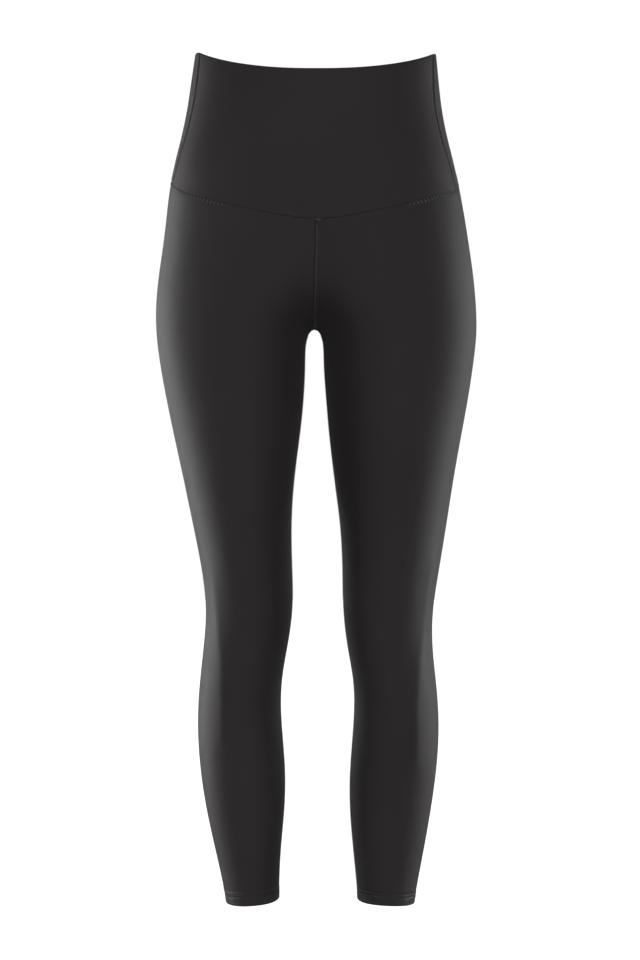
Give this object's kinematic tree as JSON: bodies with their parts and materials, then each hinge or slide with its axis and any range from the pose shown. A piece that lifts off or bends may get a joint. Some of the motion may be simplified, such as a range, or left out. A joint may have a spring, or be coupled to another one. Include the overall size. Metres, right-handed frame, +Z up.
{
  "type": "leggings",
  "caption": "High-waisted 7/8 stretch leggings in hollow worn form, with a deep waistband, open waist and open hems.",
  "frame": {"origin": "middle of the waist opening, level with the top of the waistband's side seams", "axes": "+Z up along the body, the front faces -Y, +X is the wearer's left"},
  "size_m": [0.3416, 0.2276, 0.9052],
  "materials": {
    "waistband_front_knit": "charcoal stretch knit, double layer, soft sheen",
    "waistband_back_knit": "charcoal stretch knit, double layer, soft sheen",
    "leg_left_knit": "charcoal stretch knit, soft sheen",
    "leg_right_knit": "charcoal stretch knit, soft sheen"
  },
  "bodies": {
    "root": {"waistband_front": "waistband_front_knit", "waistband_back": "waistband_back_knit", "leg_left": "leg_left_knit", "leg_right": "leg_right_knit"}
  },
  "joints": []
}
